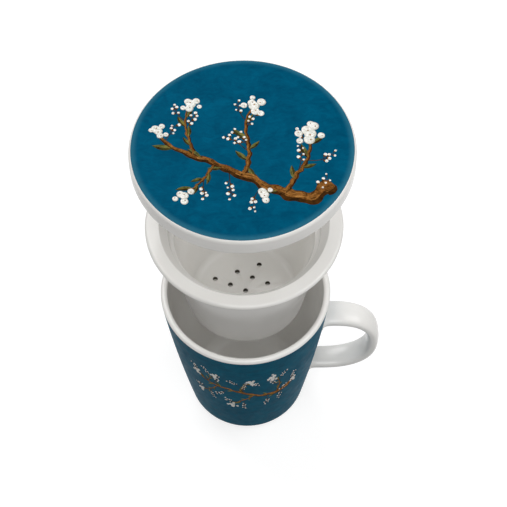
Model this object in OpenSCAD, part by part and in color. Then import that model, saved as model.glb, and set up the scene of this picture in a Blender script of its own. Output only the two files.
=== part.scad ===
// Lidded tea mug with a lift-out infuser basket, in glazed stoneware.
// The mug stands on the table at z = 0 with its centre line on Z and its handle towards +X.
// The infuser hangs by its flange on the mug's rim, and the lid sits on the flange.
// Both are drawn lifted straight up off their seats, by infuser_lift and lid_lift.

/* [Mug] */
// Height of the rim above the table
mug_height = 100; // [88:1:120]
// Outer diameter of the mug at its rim
rim_diameter = 84; // [76:1:96]
// Outer diameter at which the line of the wall meets the table
base_diameter = 59; // [52:1:68]
// Thickness of the mug's wall
mug_wall = 3.3; // [2.6:0.1:4.2]
// How far the wall swells outside a straight line from base to rim
wall_bulge = 0.9; // [0:0.1:2.5]
// Radius of the rounded heel between the wall and the underside
heel_radius = 9; // [6:0.5:11]
// Thickness of the mug's floor
mug_floor = 4.5; // [3:0.5:7]
// Radius of the cove between the floor and the wall inside the mug
mug_cove = 7; // [4:0.5:10]

/* [Foot ring] */
// Height of the foot ring under the mug
foot_height = 1.5; // [1:0.1:2.5]
// Width of the foot ring
foot_width = 3.6; // [2.5:0.1:6]
// How far the ring's outer side stands outside the centre of the heel's curve
foot_offset = 3; // [1:0.1:4]
// Radius of the foot ring's edges
foot_edge = 0.6; // [0.2:0.1:0.9]

/* [Handle] */
// Height of the rim above the middle of the handle's upper run
handle_drop = 26.7; // [20:0.1:32]
// Height between the middles of the upper and lower runs
handle_height = 46.2; // [38:0.1:50]
// How far the handle stands out beyond the rim
handle_reach = 27.1; // [20:0.1:34]
// Width of the strap at its upper end
strap_top_width = 14.2; // [10:0.1:18]
// Width of the strap at its lower end
strap_bottom_width = 12.2; // [9:0.1:17]
// Thickness of the strap
strap_thickness = 5.9; // [4.5:0.1:7.5]
// Length of the straight run from the wall to the bend, at the top
upper_run = 4.2; // [2:0.1:8]
// Length of the straight run from the wall to the bend, at the bottom
lower_run = 7.4; // [3:0.1:10]
// How square the bend is, where 2 is an ellipse
bend_fullness = 2.3; // [2:0.1:3]
// How much the strap spreads where it meets the wall, as a share of its size
root_spread = 0.16; // [0:0.01:0.3]
// Length over which the strap spreads at the wall
root_length = 3.6; // [2:0.1:5]

/* [Infuser] */
// Height of the infuser from its underside to the top of its flange
infuser_height = 63.5; // [50:0.5:68]
// How far the flange reaches beyond the mug's rim
flange_overhang = 3.75; // [2:0.05:6]
// Thickness of the flange
flange_thickness = 3; // [2.4:0.1:4]
// Slack between the infuser's neck and the mouth of the mug
neck_clearance = 0.9; // [0.5:0.1:1.5]
// Depth of the neck below the flange
neck_depth = 8; // [6:0.5:12]
// Thickness of the neck's wall
neck_wall = 2.2; // [1.6:0.1:2.4]
// Radius of the cove between the flange and the neck
neck_cove = 1.2; // [0.6:0.1:1.4]
// Width of the sloping lead-in between the top of the flange and the neck
mouth_slope_width = 3.7; // [2:0.1:4.5]
// Depth of the sloping lead-in
mouth_slope_depth = 4.6; // [2.5:0.1:5]
// Width of the sloping shoulder inside, below the neck
shoulder_width = 2; // [1:0.1:3]
// Thickness of the basket's wall at its foot
basket_wall = 3.3; // [2.6:0.1:3.8]
// Thickness of the basket's floor
basket_floor = 3; // [2.4:0.1:4.5]
// Slack between the foot of the seated basket and the mug's wall
basket_gap = 3.7; // [2:0.1:7]
// Radius of the basket's outer bottom edge
basket_edge = 5; // [2:0.1:6]
// Radius of the cove around the basket's floor
basket_cove = 3.5; // [2:0.1:6]

/* [Drain holes] */
// Diameter of each drain hole
hole_diameter = 2.4; // [1.6:0.1:3.4]
// Distance between neighbouring holes of the square grid
hole_pitch = 8.3; // [6:0.1:9.2]
// Turn of the grid about the centre line
hole_turn = -25.5; // [-45:0.5:45]
// Steps of the grid from the middle hole to the outermost ones
hole_steps = 2; // [1:1:2]

/* [Lid] */
// How far the lid reaches beyond the flange
lid_overhang = 3; // [1.5:0.1:6]
// Height of the lid's edge
lid_edge_height = 9.8; // [8:0.1:13]
// Radius of the lid's upper edge
lid_top_edge = 2.5; // [1.5:0.1:3.5]
// Radius of the lid's lower edge
lid_bottom_edge = 2; // [1:0.1:3]
// Thickness of the lid inside its locating ring
lid_web = 5.5; // [4:0.1:7]
// Slack between the lid's locating ring and the infuser's neck
ring_clearance = 0.7; // [0.4:0.1:1.5]
// Height of the locating ring below the lid's seat
ring_height = 4; // [2.5:0.1:6]
// Width of the locating ring
ring_width = 3.4; // [2.5:0.1:5]
// Radius of the locating ring's edges
ring_edge = 1; // [0.4:0.1:1.2]

/* [Coloured glaze] */
// Thickness of the coloured glaze
glaze_thickness = 0.35; // [0.2:0.05:0.6]
// Height of the bare strip between the foot ring and the mug's colour
bare_strip = 1.2; // [0.8:0.1:4]
// Width of the white edge that is left around the colour on the lid
lid_white_edge = 1; // [0.6:0.1:1.5]
// Space left between the colour and the handle's roots
handle_margin = 0.15; // [0.05:0.05:0.5]

/* [Lifted pose] */
// Height of the infuser above its seat on the rim
infuser_lift = 55.6; // [0:0.1:70]
// Height of the lid above its seat on the flange
lid_lift = 48.2; // [0:0.1:80]

/* [Hidden] */
$fn = 96;

white = [0.93, 0.92, 0.88];
teal = [0.03, 0.27, 0.38];

// Steps in each kind of curve
edge_steps = 6;
bend_steps = 10;
wall_steps = 12;
strap_sides = 20;
strap_steps = 28;
// Angle at which the curve of the heel starts, below the level of its centre
heel_start = -80;
// Least height between two corners of the mug's side
least_step = 0.2;
// Power that squares the strap's round section, where 1 is an ellipse
section_power = 0.8;

rim_radius = rim_diameter / 2;
base_radius = base_diameter / 2;
lip_radius = mug_wall / 2;
wall_top = mug_height - lip_radius;
flange_radius = rim_radius + flange_overhang;
lid_radius = flange_radius + lid_overhang;
flange_top = mug_height + flange_thickness;

// Points along an arc about the centre c, from angle a to angle b
function arc(c, r, a, b, n) = [for (i = [0:n]) c + r * [cos(a + (b - a) * i / n), sin(a + (b - a) * i / n)]];

// --- Outline of the mug ---

function wall_radius(z) =
  let (u = z / wall_top)
  base_radius + (rim_radius - base_radius) * u + 4 * wall_bulge * u * (1 - u);

function wall_lean(z) = atan((rim_radius - base_radius + 4 * wall_bulge * (1 - 2 * z / wall_top)) / wall_top);

function inner_radius(z) = wall_radius(z) - mug_wall;

heel_height = foot_height + heel_radius;
heel_lean = wall_lean(heel_height);
heel_top = heel_height - heel_radius * sin(heel_lean);
heel_centre = [wall_radius(heel_top) - heel_radius * cos(heel_lean), heel_height];

floor_top = foot_height + mug_floor;
cove_height = floor_top + mug_cove;
cove_lean = wall_lean(cove_height);
cove_top = cove_height - mug_cove * sin(cove_lean);
cove_centre = [inner_radius(cove_top) - mug_cove * cos(cove_lean), cove_height];

foot_outer = heel_centre[0] + foot_offset;
foot_inner = foot_outer - foot_width;

// Radius of the heel and wall at height z
function side_radius(z) =
  z < heel_top
    ? heel_centre[0] + sqrt(heel_radius ^ 2 - (heel_height - z) ^ 2)
    : wall_radius(z);

// Height of the heel at radius r
function heel_rise(r) = heel_height - sqrt(heel_radius ^ 2 - (r - heel_centre[0]) ^ 2);

foot_top = heel_rise(foot_outer);
glaze_start = foot_top + bare_strip;

// Heights at which the outside of the mug has a corner, from the heel to the rim
side_heights = concat(
  [for (p = arc(heel_centre, heel_radius, heel_start, -heel_lean, bend_steps)) p[1]],
  [for (i = [1:wall_steps]) heel_top + (wall_top - heel_top) * i / wall_steps]
);

// The side between heights a and b, moved in towards the centre line by inset
function side_line(a, b, inset) = [
  for (z = concat([a], [for (h = side_heights) if (h > a + least_step && h < b - least_step) h], [b]))
    [side_radius(z) - inset, z]
];

// --- Outline of the infuser, measured down from the top of its flange ---

neck_bottom = flange_thickness + neck_depth;
neck_top_radius = inner_radius(wall_top) - neck_clearance;
neck_bottom_radius = inner_radius(mug_height - neck_depth) - neck_clearance;
basket_radius = inner_radius(flange_top - infuser_height) - basket_gap;
mouth_bottom_radius = neck_top_radius - neck_wall;
mouth_radius = mouth_bottom_radius + mouth_slope_width;

// Outer radius of the basket at depth d
function basket_outer(d) =
  neck_bottom_radius
    + (basket_radius - neck_bottom_radius) * (d - neck_bottom) / (infuser_height - neck_bottom);

basket_lean = atan((neck_bottom_radius - basket_radius) / (infuser_height - neck_bottom));
basket_edge_depth = infuser_height - basket_edge;
basket_edge_centre = [
  basket_outer(basket_edge_depth + basket_edge * sin(basket_lean)) - basket_edge * cos(basket_lean),
  -basket_edge_depth
];
basket_floor_depth = infuser_height - basket_floor;
basket_cove_depth = basket_floor_depth - basket_cove;
basket_cove_centre = [
  basket_outer(basket_cove_depth + basket_cove * sin(basket_lean)) - basket_wall
    - basket_cove * cos(basket_lean),
  -basket_cove_depth
];

// --- Outline of the lid, measured up from its seat ---

ring_outer = neck_bottom_radius - neck_wall - ring_clearance;
ring_inner = ring_outer - ring_width;
lid_edge_centre = [lid_radius - lid_top_edge, lid_edge_height - lid_top_edge];
lid_colour_angle = acos(1 - lid_white_edge / lid_top_edge);

// The coloured part of the lid's top, from its middle outwards, lowered by inset
function lid_top_line(inset) = concat(
  [[0, lid_edge_height - inset]],
  [for (p = arc(lid_edge_centre, lid_top_edge, 90, lid_colour_angle, edge_steps)) p - [0, inset]]
);

function reversed(list) = [for (i = [len(list) - 1:-1:0]) list[i]];

// --- Path and section of the handle ---

upper_height = mug_height - handle_drop;
lower_height = upper_height - handle_height;
middle_height = (upper_height + lower_height) / 2;
upper_wall = side_radius(upper_height);
lower_wall = side_radius(lower_height);
bend_end = rim_radius + handle_reach - strap_thickness / 2;
root_sink = mug_wall / 2;
run_steps = 4;

// Distance outwards along the bend, as a share, at angle a from the run
function bend_out(a) = pow(sin(a), 2 / bend_fullness);
function bend_up(a) = pow(cos(a), 2 / bend_fullness);

// Points of the strap's centre line as [x, z, distance from the wall]
strap_line = concat(
  [
    for (i = [0:run_steps - 1])
      let (d = -root_sink + (upper_run + root_sink) * i / run_steps)
      [upper_wall + d, upper_height, d]
  ],
  [
    for (i = [0:strap_steps])
      let (
        a = 180 * i / strap_steps,
        upper = a <= 90,
        q = upper ? a : 180 - a,
        start = upper ? upper_wall + upper_run : lower_wall + lower_run
      )
      [
        start + (bend_end - start) * bend_out(q),
        middle_height + (upper ? 1 : -1) * handle_height / 2 * bend_up(q),
        root_length
      ]
  ],
  [
    for (i = [1:run_steps])
      let (d = lower_run - (lower_run + root_sink) * i / run_steps)
      [lower_wall + d, lower_height, d]
  ]
);

function signed_power(x, p) = sign(x) * pow(abs(x), p);

// Ring number i of the strap, with its section grown by grow on every side
function strap_ring(i, grow) =
  let (
    last = len(strap_line) - 1,
    here = strap_line[i],
    before = strap_line[max(i - 1, 0)],
    after = strap_line[min(i + 1, last)],
    way = [after[0] - before[0], after[1] - before[1]],
    along = way / norm(way),
    near = max(0, 1 - max(here[2], 0) / root_length),
    spread = 1 + root_spread * near ^ 2,
    width = strap_top_width + (strap_bottom_width - strap_top_width) * i / last,
    half_width = width / 2 * spread + grow,
    half_thickness = strap_thickness / 2 * spread + grow
  )
  [
    for (k = [0:strap_sides - 1])
      let (
        a = 360 * k / strap_sides,
        y = half_width * signed_power(cos(a), section_power),
        n = half_thickness * signed_power(sin(a), section_power)
      )
      [here[0] - along[1] * n, y, here[1] + along[0] * n]
  ];

module strap(grow) {
  rings = len(strap_line);
  polyhedron(
    points = [for (i = [0:rings - 1]) each strap_ring(i, grow)],
    faces = concat(
      [[for (k = [0:strap_sides - 1]) k]],
      [
        for (i = [0:rings - 2], k = [0:strap_sides - 1])
          let (next = (k + 1) % strap_sides, a = i * strap_sides, b = a + strap_sides)
          [a + k, b + k, b + next, a + next]
      ],
      [[for (k = [strap_sides - 1:-1:0]) (rings - 1) * strap_sides + k]]
    )
  );
}

// --- Sub-parts ---

module mug_body() {
  foot_ring = concat(
    [[0, foot_height], [foot_inner, foot_height]],
    arc([foot_inner + foot_edge, foot_edge], foot_edge, 180, 270, edge_steps),
    arc([foot_outer - foot_edge, foot_edge], foot_edge, 270, 360, edge_steps),
    side_line(foot_top, glaze_start, 0)
  );
  glazed_side = side_line(glaze_start, wall_top, glaze_thickness);
  lip = arc([rim_radius - lip_radius, wall_top], lip_radius, 0, 180, 2 * edge_steps);
  inner_side = [
    for (i = [wall_steps - 1:-1:1])
      let (z = cove_top + (wall_top - cove_top) * i / wall_steps)
      [inner_radius(z), z]
  ];
  cove = arc(cove_centre, mug_cove, -cove_lean, -90, bend_steps);
  color(white)
    rotate_extrude()
      polygon(concat(foot_ring, glazed_side, lip, inner_side, cove, [[0, floor_top]]));
}

module mug_handle() {
  color(white)
    difference() {
      strap(0);
      rotate_extrude()
        polygon(concat([[0, glaze_start]], side_line(glaze_start, wall_top, glaze_thickness), [[0, wall_top]]));
    }
}

module mug_glaze() {
  outside = side_line(glaze_start, wall_top, 0);
  inside = side_line(glaze_start, wall_top, glaze_thickness);
  color(teal)
    difference() {
      rotate_extrude() polygon(concat(outside, reversed(inside)));
      strap(handle_margin);
    }
}

module infuser_basket() {
  flange_edge = arc(
    [flange_radius - flange_thickness / 2, -flange_thickness / 2],
    flange_thickness / 2, 90, -90, 2 * edge_steps
  );
  neck = concat(
    arc([neck_top_radius + neck_cove, -flange_thickness - neck_cove], neck_cove, 90, 180, edge_steps),
    [[neck_bottom_radius, -neck_bottom]]
  );
  bottom_edge = arc(basket_edge_centre, basket_edge, -basket_lean, -90, edge_steps);
  floor_cove = arc(basket_cove_centre, basket_cove, -90, -basket_lean, edge_steps);
  shoulder_depth = neck_bottom - shoulder_width;
  mouth = [
    [neck_bottom_radius - neck_wall - shoulder_width, -neck_bottom],
    [neck_bottom_radius - neck_wall, -shoulder_depth],
    [mouth_bottom_radius, -mouth_slope_depth],
    [mouth_radius, 0]
  ];
  color(white)
    translate([0, 0, flange_top + infuser_lift])
      difference() {
        rotate_extrude()
          polygon(concat(
            flange_edge, neck, bottom_edge, [[0, -infuser_height], [0, -basket_floor_depth]],
            floor_cove, mouth
          ));
        rotate([0, 0, hole_turn])
          for (i = [-hole_steps:hole_steps], j = [-hole_steps:hole_steps])
            if (abs(i) + abs(j) <= hole_steps)
              translate([i * hole_pitch, j * hole_pitch, -infuser_height - 1])
                cylinder(d = hole_diameter, h = basket_floor + 2);
      }
}

// Moves what belongs to the lid from its seat at z = 0 to where the lid is held
module at_lid() {
  translate([0, 0, flange_top + infuser_lift + lid_lift]) children();
}

module lid_body() {
  edge = concat(
    arc(lid_edge_centre, lid_top_edge, lid_colour_angle, 0, edge_steps),
    arc([lid_radius - lid_bottom_edge, lid_bottom_edge], lid_bottom_edge, 0, -90, edge_steps)
  );
  ring = concat(
    [[ring_outer, 0]],
    arc([ring_outer - ring_edge, ring_edge - ring_height], ring_edge, 0, -90, edge_steps),
    arc([ring_inner + ring_edge, ring_edge - ring_height], ring_edge, -90, -180, edge_steps)
  );
  hollow_top = lid_edge_height - lid_web;
  hollow_cove = arc([ring_inner - ring_edge, hollow_top - ring_edge], ring_edge, 0, 90, edge_steps);
  color(white)
    at_lid()
      rotate_extrude()
        polygon(concat(lid_top_line(glaze_thickness), edge, ring, hollow_cove, [[0, hollow_top]]));
}

module lid_glaze() {
  color(teal)
    at_lid()
      rotate_extrude()
        polygon(concat(lid_top_line(0), reversed(lid_top_line(glaze_thickness))));
}

mug_body();
mug_handle();
mug_glaze();
infuser_basket();
lid_body();
lid_glaze();
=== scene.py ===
"""A lidded tea mug with its infuser, in glazed stoneware painted with sprays of snowberries."""

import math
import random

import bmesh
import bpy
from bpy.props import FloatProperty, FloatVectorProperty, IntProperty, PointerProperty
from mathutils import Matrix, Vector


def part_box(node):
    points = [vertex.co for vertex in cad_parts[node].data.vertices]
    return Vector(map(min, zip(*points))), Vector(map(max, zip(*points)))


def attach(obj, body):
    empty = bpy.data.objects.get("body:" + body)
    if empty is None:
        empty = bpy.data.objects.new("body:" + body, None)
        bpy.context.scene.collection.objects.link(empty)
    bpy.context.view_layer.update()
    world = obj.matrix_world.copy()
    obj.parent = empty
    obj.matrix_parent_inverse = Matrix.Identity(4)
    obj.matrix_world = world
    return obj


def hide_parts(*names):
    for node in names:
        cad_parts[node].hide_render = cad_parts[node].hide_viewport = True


bl_info = {
    "name": "Infuser Mug",
    "version": (1, 0, 0),
    "blender": (4, 5, 0),
    "location": "View3D > Sidebar > Infuser Mug",
    "description": "Throws, glazes and paints a lidded tea mug with an infuser on its packed solids",
    "category": "Add Mesh",
}

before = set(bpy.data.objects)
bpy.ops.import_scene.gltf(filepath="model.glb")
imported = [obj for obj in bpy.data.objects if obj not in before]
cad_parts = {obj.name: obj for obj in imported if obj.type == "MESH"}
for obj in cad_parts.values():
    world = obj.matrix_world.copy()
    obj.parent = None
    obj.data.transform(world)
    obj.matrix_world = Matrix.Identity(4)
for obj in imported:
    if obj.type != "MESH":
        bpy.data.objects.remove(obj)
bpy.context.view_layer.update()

MM = 0.001
FULL_TURN = 2 * math.pi
SHARP_ANGLE = math.radians(35)
NODE_BOX = {node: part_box(node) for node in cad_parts}


def node_top(node):
    """Height of a node's highest point, in metres."""
    return NODE_BOX[node][1].z


def node_radius(node):
    """Half of a node's width across the mug, in metres, to a hundredth of a millimetre."""
    low, high = NODE_BOX[node]
    return round((high.y - low.y) / 2, 5)


# --- Sizes and colours that a potter would change -------------------------------------------


def length(name, millimetres, description):
    """A size in metres, given in millimetres."""
    default = millimetres * MM
    return FloatProperty(name=name, description=description, default=default, unit="LENGTH")


def bearing(name, degrees, description):
    """An angle, given in degrees."""
    default = math.radians(degrees)
    return FloatProperty(name=name, description=description, default=default, subtype="ANGLE")


def brightness(name, level, description):
    """A level of light, where 1 shows white as white."""
    return FloatProperty(name=name, description=description, default=level, min=0.0)


def colour(name, rgb, description):
    """A linear colour."""
    return FloatVectorProperty(
        name=name, description=description, default=rgb, subtype="COLOR", size=3, min=0.0, max=1.0
    )


class MugSizes(bpy.types.PropertyGroup):
    """The thrown body of the mug."""

    wall: length("Wall", 3.3, "Thickness of the wall")
    base_radius: length("Base radius", 29.5, "Radius at which the line of the wall meets the table")
    swell: length("Swell", 0.9, "How far the wall swells outside a straight line")
    heel: length("Heel", 9.0, "Radius of the rounded heel")
    floor: length("Floor", 4.5, "Thickness of the floor")
    cove: length("Cove", 7.0, "Radius between floor and wall inside")
    foot_height: length("Foot height", 1.5, "Height of the foot ring")
    foot_width: length("Foot width", 3.6, "Width of the foot ring")
    foot_offset: length("Foot offset", 3.0, "How far the ring stands outside the heel's centre")
    colour_depth: length("Colour depth", 0.35, "Thickness of the coloured glaze")


class HandleSizes(bpy.types.PropertyGroup):
    """The pulled strap handle."""

    drop: length("Drop", 26.7, "Height of the rim above the middle of the upper run")
    height: length("Height", 46.2, "Height between the two runs")
    top_width: length("Top width", 14.2, "Width of the strap at its upper end")
    bottom_width: length("Bottom width", 12.2, "Width of the strap at its lower end")
    thickness: length("Thickness", 5.9, "Thickness of the strap")
    upper_run: length("Upper run", 4.2, "Straight run at the upper end")
    lower_run: length("Lower run", 7.4, "Straight run at the lower end")
    root_fillet: length("Root fillet", 1.1, "Radius of the slip smoothed around each root")
    fullness: FloatProperty(
        name="Fullness", description="How square the bend is, where 2 is an oval", default=2.3
    )


class InfuserSizes(bpy.types.PropertyGroup):
    """The infuser basket."""

    flange: length("Flange", 2.95, "Thickness of the flange")
    neck_radius: length("Neck radius", 37.8, "Outer radius of the neck under the flange")
    neck_low_radius: length("Lower neck radius", 37.2, "Outer radius at the bottom of the neck")
    neck_depth: length("Neck depth", 8.0, "Depth of the neck below the flange")
    neck_wall: length("Neck wall", 2.2, "Thickness of the neck's wall")
    basket_radius: length("Basket radius", 28.4, "Outer radius of the basket's foot")
    shoulder: length("Shoulder", 2.0, "Width of the sloping shoulder inside, below the neck")
    wall: length("Basket wall", 3.3, "Thickness of the basket's wall at its foot")
    floor: length("Basket floor", 3.0, "Thickness of the basket's floor")
    edge: length("Edge", 5.0, "Radius of the basket's bottom edge")
    cove: length("Cove", 3.5, "Radius between floor and wall inside")
    mouth_width: length("Mouth width", 3.7, "Width of the sloping lead-in")
    mouth_depth: length("Mouth depth", 4.6, "Depth of the sloping lead-in")
    inner_bend: length("Inner bend", 1.0, "Radius of the soft bends inside the mouth")
    hole_pitch: length("Hole pitch", 8.3, "Distance between neighbouring drain holes")
    hole_radius: length("Hole radius", 1.2, "Radius of a drain hole")
    hole_steps: IntProperty(name="Hole steps", description="Holes from middle to tip", default=2)
    hole_turn: bearing("Hole turn", -25.5, "Turn of the grid of drain holes")


class LidSizes(bpy.types.PropertyGroup):
    """The flat lid and its locating ring."""

    ring_height: length("Ring height", 4.0, "Height of the locating ring")
    ring_radius: length("Ring radius", 34.3, "Outer radius of the locating ring")
    ring_width: length("Ring width", 3.4, "Width of the locating ring")
    web: length("Web", 5.5, "Thickness inside the locating ring")
    top_edge: length("Top edge", 2.5, "Radius of the upper edge")
    bottom_edge: length("Bottom edge", 2.0, "Radius of the lower edge")
    white_edge: length("White edge", 1.0, "Width of the white edge around the colour")
    sunk: length("Sunk", 0.12, "How far the colour lies below the white edge, for the enamel")


class GlazeColours(bpy.types.PropertyGroup):
    """Glazes and enamels."""

    white: colour("White", (0.92, 0.91, 0.885), "Clear glaze over the white body")
    cream: colour("Cream", (0.885, 0.87, 0.84), "Where the glaze lies thick")
    # Painted shade: the infuser's glaze is a darker copy of the clear glaze, so the infuser renders
    # darker than the mug and the lid.
    shaded_infuser_white: colour("Shaded infuser white", (0.865, 0.855, 0.83), "Clear glaze on the greyer infuser")
    shaded_infuser_cream: colour("Shaded infuser cream", (0.835, 0.82, 0.79), "Where the infuser's glaze lies thick")
    clay: colour("Clay", (0.62, 0.56, 0.47), "Bare fired clay")
    # Painted shade: a dark clay on the walls of the drain holes, for the shade inside them.
    hole_shade: colour("Hole shade clay", (0.10, 0.085, 0.07), "Bare clay in the drain holes, dark with tea")
    teal: colour("Teal", (0.0, 0.093, 0.177), "Coloured glaze on the lid")
    deep_teal: colour("Deep teal", (0.0, 0.060, 0.122), "Darker clouds in the lid's glaze")
    # Painted highlight: the lid's teal lightens to this colour at its rounded rim.
    rim_highlight_teal: colour("Rim highlight teal", (0.028, 0.150, 0.225), "Where the lid's glaze thins out")
    # Painted light: the mug's teal is a lighter copy of the lid's, for the upright wall that the lamps
    # light less.
    lit_wall_teal: colour("Lit wall teal", (0.0, 0.124, 0.204), "Coloured glaze on the mug")
    lit_deep_wall_teal: colour("Lit deep wall teal", (0.0, 0.079, 0.142), "Darker clouds in the mug's glaze")
    light_bark: colour("Light bark", (0.40, 0.19, 0.05), "Streaks on branches and veins")
    bark: colour("Bark", (0.25, 0.10, 0.022), "Branches")
    dark_bark: colour("Dark bark", (0.07, 0.026, 0.005), "Shaded side of the branches, and twigs")
    deep_bark: colour("Deep bark", (0.022, 0.010, 0.003), "Darkest parts of the branches")
    leaf: colour("Leaf", (0.17, 0.17, 0.045), "Lit half of the leaves")
    dark_leaf: colour("Dark leaf", (0.05, 0.06, 0.018), "Shaded half of the leaves")
    berry: colour("Berry", (0.90, 0.89, 0.86), "Berries and buds")
    berry_shade: colour("Berry shade", (0.60, 0.60, 0.53), "Shaded edge of the berries")
    gilt: colour("Gilt", (0.44, 0.24, 0.06), "Marks on the berries")


class StudioSetup(bpy.types.PropertyGroup):
    """Camera, lamps and floor."""

    distance: length("Camera distance", 697.0, "Distance from the middle of the rim")
    elevation: bearing("Camera elevation", 58.8, "Angle of the camera above the table")
    aim: FloatVectorProperty(
        name="Aim",
        description="Point in the picture's centre",
        default=(0.0044, 0.02025, 0.1),
        size=3,
        subtype="TRANSLATION",
    )
    roll: bearing("Roll", -0.65, "Roll of the camera")
    lens: FloatProperty(name="Lens", description="Focal length", default=100.0, unit="CAMERA")
    front_level: brightness("Front level", 0.43, "Light of the front softbox")
    left_level: brightness("Left level", 0.48, "Light of the softbox behind on the left")
    right_level: brightness("Right level", 0.36, "Light of the right softbox")
    sky_level: brightness("Sky level", 0.195, "Even light from all around")


# --- Outlines -------------------------------------------------------------------------------


def arc(centre, radius, start, end, steps):
    """Points (r, z) on an arc, from one angle in degrees to another."""
    turns = [math.radians(start + (end - start) * i / steps) for i in range(steps + 1)]
    return [(centre[0] + radius * math.cos(a), centre[1] + radius * math.sin(a)) for a in turns]


def softened(corners, step=math.radians(7)):
    """An outline with each corner (r, z, radius) rounded by an arc of that radius."""
    outline = []
    for i, (r, z, radius) in enumerate(corners):
        here = Vector((r, z))
        if radius == 0 or i in (0, len(corners) - 1):
            outline.append((r, z))
            continue
        back = (Vector(corners[i - 1][:2]) - here).normalized()
        ahead = (Vector(corners[i + 1][:2]) - here).normalized()
        opening = back.angle(ahead)
        centre = here + (back + ahead).normalized() * radius / math.sin(opening / 2)
        reach = radius / math.tan(opening / 2)
        first = here + back * reach - centre
        last = here + ahead * reach - centre
        turn = first.angle_signed(last)
        count = max(2, math.ceil(abs(turn) / step))
        for k in range(count + 1):
            spoke = first.copy()
            spoke.rotate(Matrix.Rotation(-turn * k / count, 2))
            outline.append(tuple(centre + spoke))
    return outline


def wall_radius(sizes, z):
    """Outer radius of the mug's wall at height z: a straight line that swells in the middle."""
    top = node_top("mug_body") - sizes.wall / 2
    rim = node_radius("mug_body")
    share = z / top
    straight = sizes.base_radius + (rim - sizes.base_radius) * share
    return straight + 4 * sizes.swell * share * (1 - share)


def wall_lean(sizes, z):
    """Lean of the wall outwards at height z, in degrees."""
    step = MM
    rise = wall_radius(sizes, z + step) - wall_radius(sizes, z - step)
    return math.degrees(math.atan2(rise, 2 * step))


def wall_arc(sizes, height, radius, inset):
    """An arc at the foot of the wall: its centre, and the lean and height where they touch."""
    lean = wall_lean(sizes, height)
    touch = height - radius * math.sin(math.radians(lean))
    reach = wall_radius(sizes, touch) - inset - radius * math.cos(math.radians(lean))
    return (reach, height), lean, touch


def heel_arc(sizes):
    """The arc of the rounded heel."""
    return wall_arc(sizes, sizes.foot_height + sizes.heel, sizes.heel, 0)


def wall_line(sizes, bottom, top, inset, steps):
    """The wall between two heights, moved in by inset."""
    heights = [bottom + (top - bottom) * i / steps for i in range(steps + 1)]
    return [(wall_radius(sizes, z) - inset, z) for z in heights]


# --- Meshes ---------------------------------------------------------------------------------


def add_object(name, data):
    """A new object in the scene from a mesh, a lamp or a camera."""
    made = bpy.data.objects.new(name, data)
    bpy.context.scene.collection.objects.link(made)
    return made


def finish_piece(name, mesh, materials, body, node=None):
    """A smooth piece that rides on its body and, where it stands for a node, hides it."""
    for material in materials:
        mesh.materials.append(material)
    mesh.polygons.foreach_set("use_smooth", [True] * len(mesh.polygons))
    mesh.set_sharp_from_angle(angle=SHARP_ANGLE)
    piece = add_object(name, mesh)
    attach(piece, body)
    if node:
        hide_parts(node)
    return piece


def mesh_of(work, name):
    """A mesh with its faces outwards, from the bmesh that holds it."""
    bmesh.ops.recalc_face_normals(work, faces=work.faces)
    mesh = bpy.data.meshes.new(name)
    work.to_mesh(mesh)
    work.free()
    return mesh


def bridge(work, before, after, closed=True):
    """Faces between two rows of points, where a row may be a single point."""
    count = max(len(before), len(after))
    for k in range(count if closed else count - 1):
        ahead = (k + 1) % count
        corners = [
            before[k % len(before)],
            before[ahead % len(before)],
            after[ahead % len(after)],
            after[k % len(after)],
        ]
        work.faces.new([v for i, v in enumerate(corners) if v not in corners[:i]])


def turned(name, outline, steps=192, closed=False):
    """A body of revolution about Z from an outline of (r, z), closed on itself or on the axis."""
    work = bmesh.new()
    rings = []
    turns = [FULL_TURN * k / steps for k in range(steps)]
    for r, z in outline:
        if r == 0:
            rings.append([work.verts.new((0, 0, z))])
        else:
            rings.append([work.verts.new((r * math.cos(a), r * math.sin(a), z)) for a in turns])
    for before, after in zip(rings, rings[1:] + rings[:1] if closed else rings[1:]):
        bridge(work, before, after)
    return mesh_of(work, name)


# --- Finishes -------------------------------------------------------------------------------

# Coloured glaze and enamel throw back less light than clear glaze.
SATIN_IOR = 1.05
# No enamel gets brighter than this.
BRIGHTEST = 0.95
# Noise lies mostly between these two.
NOISE_LOW = 0.3
NOISE_HIGH = 0.7


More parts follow.
